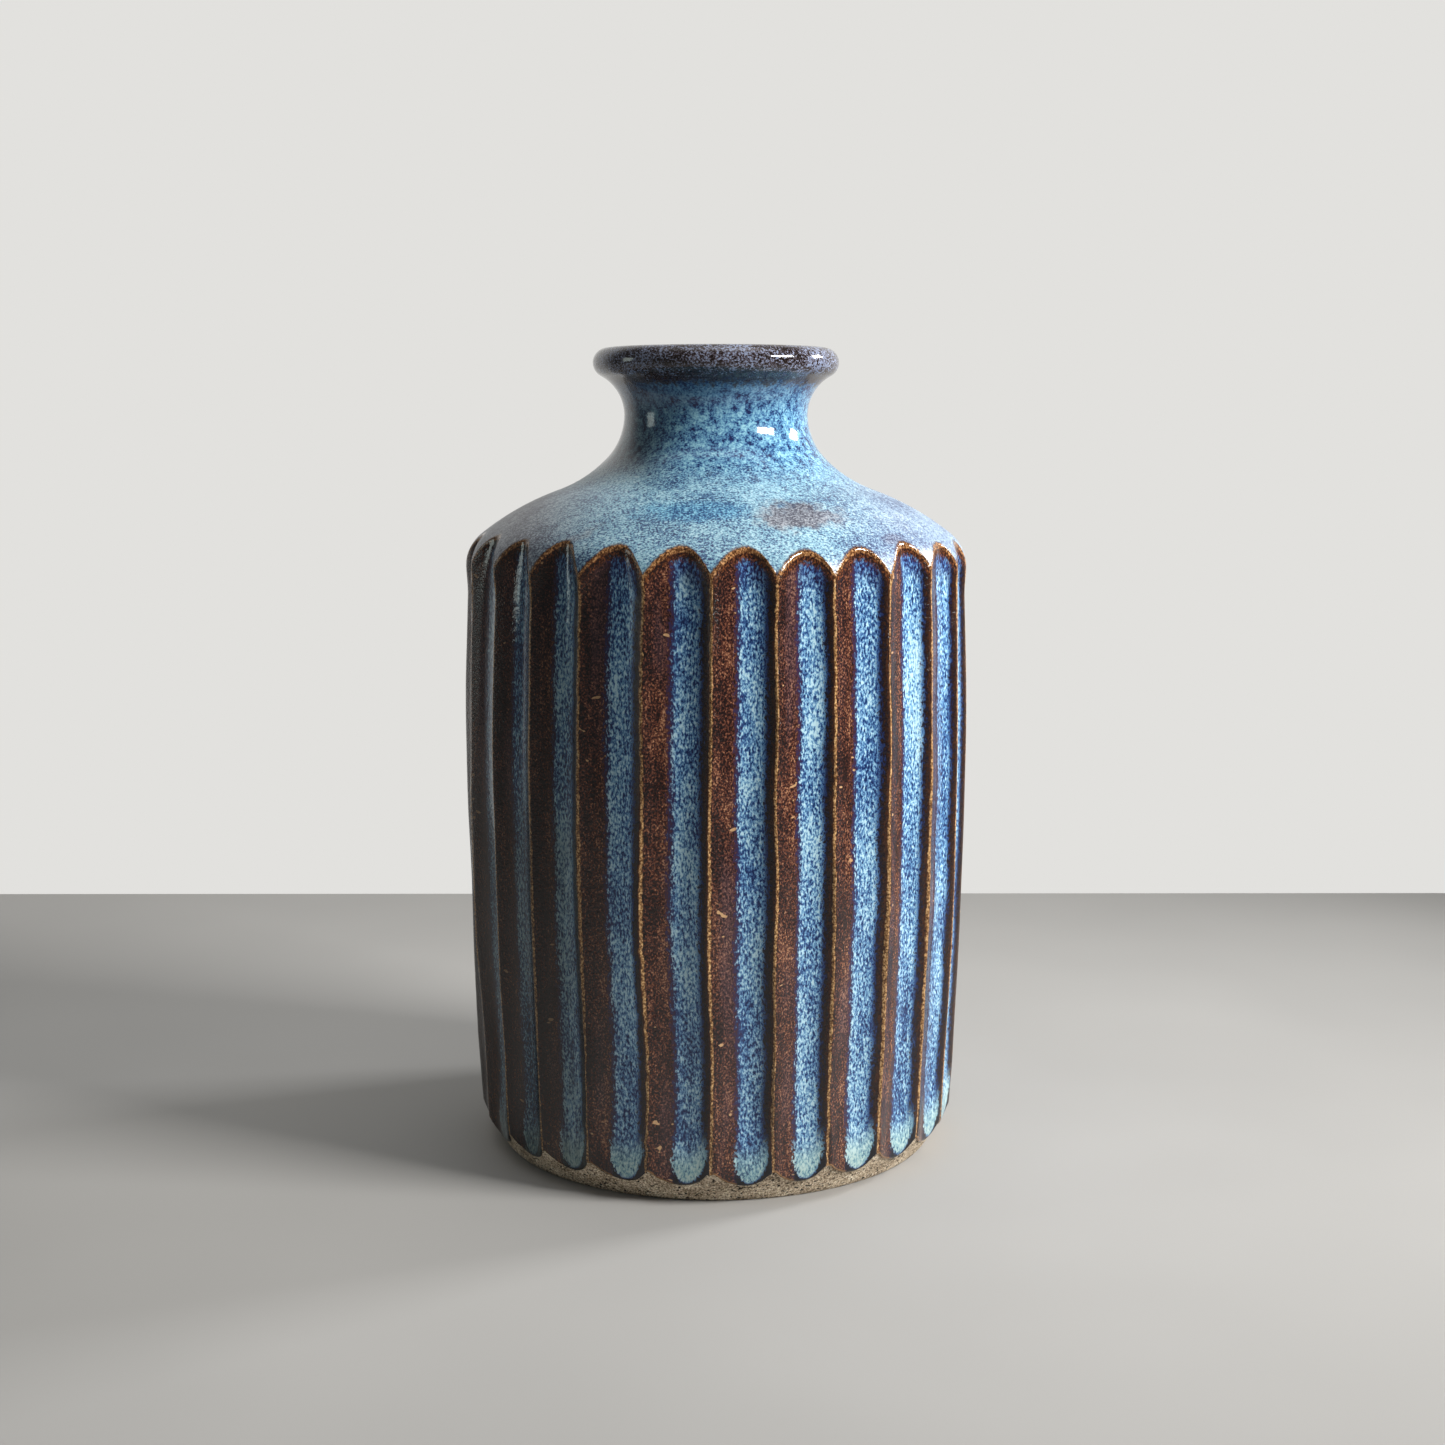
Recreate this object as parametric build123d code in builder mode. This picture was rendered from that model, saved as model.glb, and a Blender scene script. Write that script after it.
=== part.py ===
from build123d import *

import math
import os

# A wheel-thrown stoneware bud vase with hand-cut flutes, in millimetres.
#
# The frame is +Z up, with the origin at the centre of the foot, and the front of the vase faces -Y.
# The pot is one piece of clay with two coats of glass fused to it:
#
#     stoneware_body   the thrown, fluted and trimmed clay, bare only at the bevel and under the foot
#     outer_glaze      the coat outside, from the flutes' lower ends, over the lip and into the mouth
#     liner_glaze      the coat that makes the inside watertight, from the throat down to the floor

# Barrel wall as thrown, an arc in section; the flutes leave their ridges 0.1 mm inside it
WIDEST_R = 39.85
WIDEST_Z = 60.0
BARREL_ARC_R = 760.0
WALL_TOP = 92.0  # the top of the ridges, where the shoulder begins to turn in
WALL = 5.5  # from the thrown outside to the inside, glaze included

# Shoulder, neck and lip of the glazed outside, as (radius, height)
SHOULDER_CORNER = (36.6, 96.6)
SHOULDER_TOP = (24.6, 103.15)
NECK_ROOT = (17.0, 108.1)
NECK = (14.3, 114.4)
LIP_UNDERSIDE = (17.9, 120.7)
LIP_TOP = (16.8, 125.0)
LIP_INSIDE = (15.1, 124.3)

# Throat and inside of the glazed pot
THROAT_R = 10.5
THROAT_TOP = 113.0
THROAT_BOTTOM = 105.0
THROAT_ROOT = (13.6, 100.4)
INSIDE_SHOULDER = (29.0, 93.6)
INSIDE_WALL_TOP = 86.0
INSIDE_WALL_BOTTOM = 14.0
FLOOR_CORNER = (24.4, 6.0)

# Foot
FOOT_R = 34.4
BEVEL_MIDDLE = (36.05, 2.9)
BEVEL_TOP = 5.6
FOOT_RING = 6.5
FOOT_RECESS = 1.2

# Flutes: each lies between two sharp ridges, with its deepest line right of its middle
FLUTES = 26
FIRST_FLUTE_DEG = -84.6  # the middle of the flute beside the front of the vase
FLUTE_DEPTH = 1.65
DEEPEST_OFF_MIDDLE = 1.15
BROAD_SLOPE_R = 14.4
STEEP_SLOPE_R = 5.8
CUT_BOTTOM = -4.0
CUT_TOP = 101.0
CLEAR_OF_WALL = 1.2

# Coats of glaze, and the lens of it that has run down and gathered at the foot of each flute
GLAZE = 0.45
POOL_Z = 7.0
POOL_BULGE = 0.5
POOL_CURVE_R = 6.0
POOL_THICKNESS = 1.3

# Bounds of the cuts: a line through the middle of the clay, as (radius, height), and lines out in the open
MID_CLAY = (
    (0, 3),
    (29, 3),
    (36, 16),
    (36.9, 60),
    (36.4, 86),
    (30.2, 97),
    (17.8, 103.2),
    (12.4, 110),
    (12.4, THROAT_TOP),
)
BEYOND = 60.0
BEVEL_RUNOUT = 5.0


def barrel_r(z, inset=0.0):
    """Radius of the barrel at height z, moved in from the thrown outside by inset."""
    arc = BARREL_ARC_R - inset
    return WIDEST_R - BARREL_ARC_R + math.sqrt(arc**2 - (z - WIDEST_Z) ** 2)


# The glazed profile, up the outside, over the lip and down the inside to the floor
with BuildLine() as profile:
    wall = ThreePointArc(
        (barrel_r(CUT_BOTTOM), CUT_BOTTOM),
        (WIDEST_R, WIDEST_Z),
        (barrel_r(WALL_TOP), WALL_TOP),
    )
    corner = TangentArc(wall @ 1, SHOULDER_CORNER, tangent=wall % 1)
    shoulder = TangentArc(corner @ 1, SHOULDER_TOP, tangent=corner % 1)
    root = TangentArc(shoulder @ 1, NECK_ROOT, tangent=shoulder % 1)
    neck = TangentArc(root @ 1, NECK, tangent=root % 1)
    flare = TangentArc(neck @ 1, LIP_UNDERSIDE, tangent=neck % 1)
    lip = TangentArc(flare @ 1, LIP_TOP, tangent=flare % 1)
    lip_inside = TangentArc(lip @ 1, LIP_INSIDE, tangent=lip % 1)
    mouth = TangentArc(lip_inside @ 1, (THROAT_R, THROAT_TOP), tangent=lip_inside % 1)
    throat = Line(mouth @ 1, (THROAT_R, THROAT_BOTTOM))
    throat_root = TangentArc(throat @ 1, THROAT_ROOT, tangent=throat % 1)
    under_shoulder = TangentArc(throat_root @ 1, INSIDE_SHOULDER, tangent=throat_root % 1)
    inside_corner = TangentArc(
        under_shoulder @ 1, (barrel_r(INSIDE_WALL_TOP, WALL), INSIDE_WALL_TOP), tangent=under_shoulder % 1
    )
    inside = ThreePointArc(
        inside_corner @ 1,
        (WIDEST_R - WALL, WIDEST_Z),
        (barrel_r(INSIDE_WALL_BOTTOM, WALL), INSIDE_WALL_BOTTOM),
    )
    floor_corner = TangentArc(inside @ 1, FLOOR_CORNER, tangent=inside % 1)
    floor = Line(floor_corner @ 1, (0, FLOOR_CORNER[1]))
PROFILE = (
    wall, corner, shoulder, root, neck, flare, lip, lip_inside, mouth, throat,
    throat_root, under_shoulder, inside_corner, inside, floor_corner, floor,
)


def moved_in(point, direction, inset):
    """The point moved into the clay, which lies left of the profile's direction."""
    left = Vector(-direction.Y, direction.X).normalized()
    return point + left * inset


def thrown_section(inset):
    """Half section of the pot as thrown, every surface moved in by inset."""
    joints = [moved_in(PROFILE[0] @ 0, PROFILE[0] % 0, inset)]
    for before, after in zip(PROFILE, PROFILE[1:]):
        joints.append(moved_in(after @ 0, before % 1 + after % 0, inset))
    joints.append(moved_in(PROFILE[-1] @ 1, PROFILE[-1] % 1, inset))
    with BuildSketch() as section:
        with BuildLine():
            for edge, start, end in zip(PROFILE, joints, joints[1:]):
                if edge in (throat, floor):
                    Line(start, end)
                else:
                    ThreePointArc(start, moved_in(edge @ 0.5, edge % 0.5, inset), end)
            Polyline(joints[-1], (0, CUT_BOTTOM), joints[0])
        make_face()
    return section.sketch


def trimmings_section():
    """Half section of the clay trimmed off the foot, at the bevel and in the recess inside its ring."""
    with BuildSketch() as section:
        with BuildLine():
            bevel = ThreePointArc((FOOT_R, 0), BEVEL_MIDDLE, (barrel_r(BEVEL_TOP), BEVEL_TOP))
            away = bevel @ 1 + (bevel % 1) * BEVEL_RUNOUT
            Polyline(
                bevel @ 1,
                away,
                (BEYOND, away.Y),
                (BEYOND, 2 * CUT_BOTTOM),
                (0, 2 * CUT_BOTTOM),
                (0, FOOT_RECESS),
                (FOOT_R - FOOT_RING - FOOT_RECESS, FOOT_RECESS),
                (FOOT_R - FOOT_RING, 0),
                (FOOT_R, 0),
            )
        make_face()
    return section.sketch


def inside_section():
    """Half section of the space that holds the liner's coat, bounded in the middle of the clay."""
    with BuildSketch() as section:
        with BuildLine():
            Polyline(*MID_CLAY, (0, THROAT_TOP), close=True)
        make_face()
    return section.sketch


def flute_cutter(inset):
    """The path of the loop tool for the flute at angle 0: its section swung along the barrel's arc."""
    swing_start = math.asin((CUT_BOTTOM - WIDEST_Z) / BARREL_ARC_R)
    swing_end = math.asin((CUT_TOP - WIDEST_Z) / BARREL_ARC_R)
    arc_centre = Vector(WIDEST_R - BARREL_ARC_R, 0, WIDEST_Z)
    ray = Vector(math.cos(swing_start), 0, math.sin(swing_start))
    across = Plane(arc_centre, x_dir=ray, z_dir=ray.cross(Vector(0, 1, 0)))
    bottom = BARREL_ARC_R - inset - FLUTE_DEPTH
    rise = FLUTE_DEPTH + CLEAR_OF_WALL
    broad_end = (bottom + rise, DEEPEST_OFF_MIDDLE - math.sqrt(2 * BROAD_SLOPE_R * rise - rise**2))
    steep_end = (bottom + rise, DEEPEST_OFF_MIDDLE + math.sqrt(2 * STEEP_SLOPE_R * rise - rise**2))
    with BuildPart() as cutter:
        with BuildSketch(across):
            with BuildLine():
                TangentArc((bottom, DEEPEST_OFF_MIDDLE), steep_end, tangent=(0, 1))
                TangentArc((bottom, DEEPEST_OFF_MIDDLE), broad_end, tangent=(0, -1))
                Line(broad_end, steep_end)
            make_face()
        revolve(axis=Axis(arc_centre, (0, -1, 0)), revolution_arc=math.degrees(swing_end - swing_start))
    return cutter.part


def fluted_pot(inset):
    """The trimmed and fluted pot, every surface but the foot's moved in by inset."""
    with BuildPart() as pot:
        with BuildSketch(Plane.XZ):
            add(thrown_section(inset))
            add(trimmings_section(), mode=Mode.SUBTRACT)
        revolve(axis=Axis.Z)
        with PolarLocations(0, FLUTES, start_angle=FIRST_FLUTE_DEG):
            add(flute_cutter(inset), mode=Mode.SUBTRACT)
    return pot.part


def glaze_pool():
    """The lens of run glaze at the foot of a flute, facing +X, with its back to be buried in the clay."""
    face_r = barrel_r(POOL_Z) - FLUTE_DEPTH + POOL_BULGE
    back_r = face_r - POOL_THICKNESS
    half_height = math.sqrt(2 * POOL_CURVE_R * POOL_THICKNESS - POOL_THICKNESS**2)
    with BuildPart() as pool:
        with BuildSketch(Plane.XZ):
            with BuildLine():
                dome = TangentArc((face_r, 0), (back_r, half_height), tangent=(0, 1))
                Polyline(dome @ 1, (back_r, 0), (face_r, 0))
            make_face()
        revolve(axis=Axis.X)
    return pool.part


with BuildPart() as stoneware_body:
    add(fluted_pot(GLAZE))

with BuildPart() as outer_glaze:
    add(fluted_pot(0.0))
    with PolarLocations(0, FLUTES, start_angle=FIRST_FLUTE_DEG):
        with Locations((0, DEEPEST_OFF_MIDDLE, POOL_Z)):
            add(glaze_pool())
    add(stoneware_body.part, mode=Mode.SUBTRACT)
    with BuildSketch(Plane.XZ):
        add(inside_section())
    revolve(axis=Axis.Z, mode=Mode.SUBTRACT)

with BuildPart() as liner_glaze:
    with BuildSketch(Plane.XZ):
        add(thrown_section(0.0))
        add(thrown_section(GLAZE), mode=Mode.SUBTRACT)
        add(inside_section(), mode=Mode.INTERSECT)
    revolve(axis=Axis.Z)

os.makedirs("parts", exist_ok=True)
stoneware_body.part.label = "stoneware_body"
export_step(stoneware_body.part, "parts/stoneware_body.step")
outer_glaze.part.label = "outer_glaze"
export_step(outer_glaze.part, "parts/outer_glaze.step")
liner_glaze.part.label = "liner_glaze"
export_step(liner_glaze.part, "parts/liner_glaze.step")
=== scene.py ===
import math
from types import SimpleNamespace

import bpy
import numpy as np
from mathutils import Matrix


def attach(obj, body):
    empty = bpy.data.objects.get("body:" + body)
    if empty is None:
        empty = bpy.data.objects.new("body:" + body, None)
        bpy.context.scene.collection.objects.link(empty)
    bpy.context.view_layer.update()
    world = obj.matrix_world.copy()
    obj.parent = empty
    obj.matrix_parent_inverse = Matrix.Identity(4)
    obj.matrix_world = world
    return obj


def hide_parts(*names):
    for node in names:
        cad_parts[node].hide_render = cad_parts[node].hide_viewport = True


# The looks of a wheel-thrown, hand-fluted stoneware bud vase. Lengths in this script are in millimetres
# until a mesh is made. An angle around the vase is 0 at the front (-Y) and grows to the right (+X).

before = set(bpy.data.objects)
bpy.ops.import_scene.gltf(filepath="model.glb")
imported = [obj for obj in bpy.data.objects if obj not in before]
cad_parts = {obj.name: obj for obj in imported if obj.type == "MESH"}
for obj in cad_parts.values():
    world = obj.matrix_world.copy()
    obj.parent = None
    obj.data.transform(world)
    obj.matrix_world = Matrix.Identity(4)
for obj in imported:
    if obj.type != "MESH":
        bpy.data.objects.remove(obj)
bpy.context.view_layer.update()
MM = 0.001
rng = np.random.default_rng(2611)

# ---------------------------------------------------------------------------------------------- form

WIDEST_R, WIDEST_Z, BARREL_ARC_R = 39.85, 60.0, 760.0
WALL = 5.5
SHOULDER_START = 91.4
SHOULDER_CORNER = (36.6, 96.5)
SHOULDER_TOP = (24.6, 103.15)
NECK_ROOT = (17.0, 108.1)
NECK = (14.3, 114.4)
LIP_UNDERSIDE = (17.9, 120.7)
LIP_TOP = (16.8, 125.0)
LIP_INSIDE = (15.1, 124.3)
THROAT_R, THROAT_TOP, THROAT_BOTTOM = 10.5, 113.0, 105.0
THROAT_ROOT = (13.6, 100.4)
INSIDE_SHOULDER = (29.0, 93.6)
INSIDE_WALL_TOP, INSIDE_WALL_BOTTOM = 86.0, 14.0
FLOOR_CORNER = (24.4, 6.0)
FOOT_R, FOOT_RING, FOOT_RECESS = 34.4, 6.5, 1.2
BEVEL_R, BEVEL_Z = 37.8, 5.6

FLUTES = 26
FLUTE_MM = 9.58
FLUTE_DEPTH = 1.7
DEEPEST = 1.15
BROAD_SLOPE_R, STEEP_SLOPE_R = 14.4, 5.8
LEAST_DEPTH = 0.06
RIDGE_BEAD, RIDGE_BEAD_WIDTH = 0.13, 0.20

# Where the ridges stand at the front, as the potter's hand left them; the rest are spread evenly
FRONT_RIDGES = (-72.0, -57.3, -43.6, -30.0, -15.5, -1.2, 12.5, 25.5, 39.7, 54.0, 68.4)

# How far the hand-cut lines stray, and over what lengths
BACK_RIDGE_SPREAD = 0.5
RIDGE_SWAY, RIDGE_SWAY_LENGTHS = 0.16, (61.0, 37.0, 23.0)
RIDGE_SHAKE, RIDGE_SHAKE_LENGTHS = 0.05, (7.3, 4.1, 2.9)
DEPTH_SWAY, DEPTH_SWAY_LENGTHS = 0.07, (83.0, 41.0, 19.0)
DEEPEST_SWAY, DEEPEST_SWAY_LENGTHS = 0.30, (140.0, 57.0)
DEPTH_SPREAD, VALLEY_SPREAD, APEX_SPREAD = 0.06, 0.28, 0.22

# The front left's flutes are deeper towards the top, and all of them are shallower at the foot
LEFT_DEEPER, LEFT_DEEPER_FROM, LEFT_DEEPER_OVER = 0.45, 60.0, 35.0
FOOT_SHALLOWER, SHALLOWEST_Z, SHALLOW_REACH = 0.36, 3.0, 9.0

# The outer glaze: thin on a ridge, even elsewhere, and pooled at the foot of each flute
GLAZE = 0.45
RIDGE_GLAZE, RIDGE_GLAZE_REACH = 0.22, 1.6
POOL_GLAZE, POOL_UP, POOL_REACH = 0.42, 2.6, 2.9
POOL_LEFT, POOL_WIDTH, POOL_ROUNDNESS = 0.28, 0.70, 1.3
FAR_FROM_POOL = 1e3
EDGE_ROUNDING = 0.9


def barrel_r(z, inset=0.0):
    return WIDEST_R - BARREL_ARC_R + np.sqrt((BARREL_ARC_R - inset) ** 2 - (z - WIDEST_Z) ** 2)


def bevel_r(z):
    return FOOT_R + (BEVEL_R - FOOT_R) * z / BEVEL_Z


def arc_on(points, heading, end, step=0.35):
    """Appends the arc that leaves the last point with this heading and reaches end. Returns its last heading."""
    (x0, y0), (x1, y1) = points[-1], end
    chord = math.atan2(y1 - y0, x1 - x0)
    turn = math.remainder(chord - heading, 2 * math.pi)
    length = math.hypot(x1 - x0, y1 - y0)
    if abs(turn) < 1e-4:
        count = max(2, round(length / step))
        points += [(x0 + (x1 - x0) * t, y0 + (y1 - y0) * t) for t in np.linspace(0, 1, count + 1)[1:]]
        return chord
    radius = length / (2 * math.sin(turn))
    count = max(3, round(abs(2 * turn * radius) / step))
    for t in np.linspace(0, 1, count + 1)[1:]:
        a = heading + 2 * turn * t
        right, down = math.sin(a) - math.sin(heading), math.cos(a) - math.cos(heading)
        points.append((x0 + radius * right, y0 - radius * down))
    return heading + 2 * turn


def barrel_heading(z, inset=0.0):
    return math.pi / 2 + math.asin((z - WIDEST_Z) / (BARREL_ARC_R - inset))


# outside: from the top of the barrel over the shoulder, neck and lip and down into the throat
outside = [(float(barrel_r(SHOULDER_START)), SHOULDER_START)]
heading = barrel_heading(SHOULDER_START)
for knot in (SHOULDER_CORNER, SHOULDER_TOP, NECK_ROOT, NECK, LIP_UNDERSIDE, LIP_TOP, LIP_INSIDE):
    heading = arc_on(outside, heading, knot)
arc_on(outside, heading, (THROAT_R, THROAT_TOP))
outside = np.array(outside)

# inside: from the top of the throat down to the middle of the floor
INSIDE_STEP = 1.2
inside = [(THROAT_R, z) for z in np.linspace(THROAT_TOP, THROAT_BOTTOM, 9)]
heading = -math.pi / 2
for knot in (THROAT_ROOT, INSIDE_SHOULDER, (float(barrel_r(INSIDE_WALL_TOP, WALL)), INSIDE_WALL_TOP)):
    heading = arc_on(inside, heading, knot, INSIDE_STEP)
wall_heights = np.linspace(INSIDE_WALL_TOP, INSIDE_WALL_BOTTOM, 19)
inside += [(float(barrel_r(z, WALL)), z) for z in wall_heights[1:]]
arc_on(inside, barrel_heading(INSIDE_WALL_BOTTOM) - math.pi, FLOOR_CORNER, INSIDE_STEP)
inside += [(r, FLOOR_CORNER[1]) for r in (20.0, 14.0, 8.0, 3.0)]
inside = np.array(inside)


def into_clay(path):
    """Unit vectors to the left of the path, which is where the clay lies."""
    along = np.gradient(path, axis=0)
    along /= np.linalg.norm(along, axis=1)[:, None]
    return np.column_stack((-along[:, 1], along[:, 0]))


OUT_LENGTH = np.concatenate(([0], np.cumsum(np.linalg.norm(np.diff(outside, axis=0), axis=1))))
OUT_INWARD = into_clay(outside)


def shoulder_point(p, inset):
    """Radius and height of the unfluted outside at arclength p above the barrel, moved in by inset."""
    r = np.interp(p, OUT_LENGTH, outside[:, 0] + inset * OUT_INWARD[:, 0])
    z = np.interp(p, OUT_LENGTH, outside[:, 1] + inset * OUT_INWARD[:, 1])
    return r, z


def wander(count, reach, wavelengths):
    """One smooth random line for each flute, as a function of height and flute that returns an offset."""
    waves = [(w, rng.uniform(0, 2 * math.pi, count), rng.normal(0, 1, count)) for w in wavelengths]
    scale = reach / math.sqrt(len(waves))

    def at(z, index):
        total = np.zeros(np.broadcast(z, index).shape)
        for wavelength, phase, size in waves:
            total = total + size[index] * np.sin(2 * math.pi * z / wavelength + phase[index])
        return total * scale

    return at


# ridges, as angles around the vase
first, last = FRONT_RIDGES[0], FRONT_RIDGES[-1]
behind = FLUTES - len(FRONT_RIDGES) + 1
step = (360 + first - last) / behind
back_ridges = last + step * np.arange(1, behind) + rng.normal(0, BACK_RIDGE_SPREAD, behind - 1)
RIDGES = np.concatenate((FRONT_RIDGES, back_ridges, [first + 360]))
ridge_sway = wander(FLUTES, RIDGE_SWAY, RIDGE_SWAY_LENGTHS)
ridge_shake = wander(FLUTES, RIDGE_SHAKE, RIDGE_SHAKE_LENGTHS)
depth_sway = wander(FLUTES, DEPTH_SWAY, DEPTH_SWAY_LENGTHS)
deepest_sway = wander(FLUTES, DEEPEST_SWAY, DEEPEST_SWAY_LENGTHS)
flute_deeper = rng.normal(0, DEPTH_SPREAD, FLUTES)

# columns: the shares of a flute at which the surface is sampled, close together at its ridges
SHARES = np.array(
    (0, 0.02, 0.045, 0.09, 0.16, 0.24, 0.33, 0.42, 0.51, 0.60, 0.68, 0.755, 0.825, 0.885, 0.935, 0.975)
)
column_flute = np.repeat(np.arange(FLUTES), len(SHARES))
column_share = np.tile(SHARES, FLUTES)
COLUMNS = len(column_flute)
FROM_RIDGE = np.minimum(column_share, 1 - column_share) * FLUTE_MM
MIDDLE_OF_SLOPES = 0.4


def column_angle(z):
    """Angle in radians of every column at height z (rows by columns)."""
    degrees_per_mm = 360 / (2 * math.pi * WIDEST_R)

    def ridge(index):
        sway = ridge_sway(z, index % FLUTES) + ridge_shake(z, index % FLUTES)
        return RIDGES[index] + sway * degrees_per_mm

    left = ridge(column_flute)
    right = ridge((column_flute + 1) % FLUTES) + np.where(column_flute == FLUTES - 1, 360.0, 0.0)
    return np.radians(left + (right - left) * column_share)


def flute_depth(z):
    """How far the glazed surface lies inside the barrel at height z, for every column."""
    left_of_middle = (column_share - 0.5) * FLUTE_MM
    deepest = DEEPEST + deepest_sway(z, column_flute)
    t = left_of_middle - deepest
    slope_r = np.where(t < 0, BROAD_SLOPE_R, STEEP_SLOPE_R)
    rise = slope_r - np.sqrt(slope_r**2 - t**2)
    width = RIDGES[column_flute + 1] - RIDGES[column_flute]
    centre_angle = np.radians(RIDGES[column_flute] + width * MIDDLE_OF_SLOPES)
    left_side = np.clip(np.sin(-centre_angle) * np.cos(centre_angle) * 2, 0, 1)
    high = np.clip((z - LEFT_DEEPER_FROM) / LEFT_DEEPER_OVER, 0, 1)
    depth = FLUTE_DEPTH + flute_deeper[column_flute] + depth_sway(z, column_flute) + LEFT_DEEPER * left_side * high
    depth = depth * (1 - FOOT_SHALLOWER * np.exp(-(((z - SHALLOWEST_Z) / SHALLOW_REACH) ** 2)))
    x = WIDEST_R - depth + rise * (depth / FLUTE_DEPTH) ** 0.5
    lain_in = WIDEST_R - np.hypot(x, left_of_middle)
    return np.maximum(lain_in, LEAST_DEPTH) + RIDGE_BEAD * np.exp(-((FROM_RIDGE / RIDGE_BEAD_WIDTH) ** 2))


def coat(foot_up):
    """Thickness of the outer glaze at a height above its lower edge."""
    base = RIDGE_GLAZE + (GLAZE - RIDGE_GLAZE) * np.clip(FROM_RIDGE / RIDGE_GLAZE_REACH, 0, 1)
    share = np.clip((column_share - POOL_LEFT) / POOL_WIDTH, 0, 1)
    across = np.sin(math.pi * share) ** POOL_ROUNDNESS
    return base + POOL_GLAZE * across * np.exp(-(((foot_up - POOL_UP) / POOL_REACH) ** 2))


def clay_wall_r(z):
    """Radius of the clay beneath the glaze of the fluted wall."""
    return barrel_r(z) - flute_depth(z) - coat(FAR_FROM_POOL)


def wall_r(z, foot_up, skin):
    """Radius of the fluted wall, where skin is 0 for the glaze's face and 1 for the clay beneath it."""
    thickness = coat(foot_up)
    under = clay_wall_r(z)
    edge = np.clip(foot_up / (EDGE_ROUNDING * thickness), 0, 1)
    face = under + thickness * np.sqrt(np.clip(1 - (1 - edge) ** 2, 0, 1))
    return face * (1 - skin) + under * skin


# the glaze's lower edge, where the clay's flutes run out through the bevel
LOWEST_EDGE_Z = 1.5
edge_z = np.full(COLUMNS, 4.0)
for _ in range(30):
    edge_z = np.clip((clay_wall_r(edge_z) - FOOT_R) / (BEVEL_R - FOOT_R) * BEVEL_Z, LOWEST_EDGE_Z, BEVEL_Z)


# the arches, where the flutes run out through the shoulder: rounded, and a little higher on the left
ARCH_FOOT, ARCH_RISE, ARCH_APEX = 92.2, 3.7, 0.55
ARCH_ROUND_LEFT, ARCH_ROUND_RIGHT = 2.05, 2.2
LEFT_ARCH_RISE, LEFT_ARCH_FROM, LEFT_ARCH_GAIN = 0.8, -5, 1.4
valley_shift = rng.normal(0, VALLEY_SPREAD, FLUTES)
apex_shift = rng.normal(0, APEX_SPREAD, FLUTES)
valley = valley_shift[column_flute] * (1 - column_share)
valley = valley + valley_shift[(column_flute + 1) % FLUTES] * column_share
left_of_apex = column_share < ARCH_APEX
side = np.where(left_of_apex, ARCH_APEX, 1 - ARCH_APEX)
power = np.where(left_of_apex, ARCH_ROUND_LEFT, ARCH_ROUND_RIGHT)
arch_shape = 1 - (np.abs(column_share - ARCH_APEX) / side) ** power
front_left = np.clip(np.sin(np.radians(-RIDGES[column_flute] + LEFT_ARCH_FROM)) * LEFT_ARCH_GAIN, 0, 1)
arch_rise = ARCH_RISE + apex_shift[column_flute] + LEFT_ARCH_RISE * front_left
arch_z = ARCH_FOOT + valley * (1 - arch_shape) + arch_shape * arch_rise
shoulder_p = np.linspace(0, 10.0, 500)
ARCH_P = np.interp(arch_z, shoulder_point(shoulder_p, 0)[1], shoulder_p)

# rows close to an arch, on both sides of it, and how far below it the wall bends to meet it
ARCH_ROWS = (0.22, 0.5, 0.9, 1.5, 2.4)
ARCH_FADE = 5.0
WELL_ABOVE_FOOT = 80.0
to_arch = shoulder_point(ARCH_P, 0)[0] - wall_r(arch_z[None, :], np.full((1, COLUMNS), WELL_ABOVE_FOOT), 0)[0]

# above the arches the columns spread evenly, over this arclength, and the rows are even from EVEN_P
UNRIDGE = 9.0
EVEN_P = 22.0
EVEN_ANGLE = np.radians(RIDGES[0] + 360.0 * np.arange(COLUMNS) / COLUMNS)
TOP_ANGLE_Z = 94.0


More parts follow.
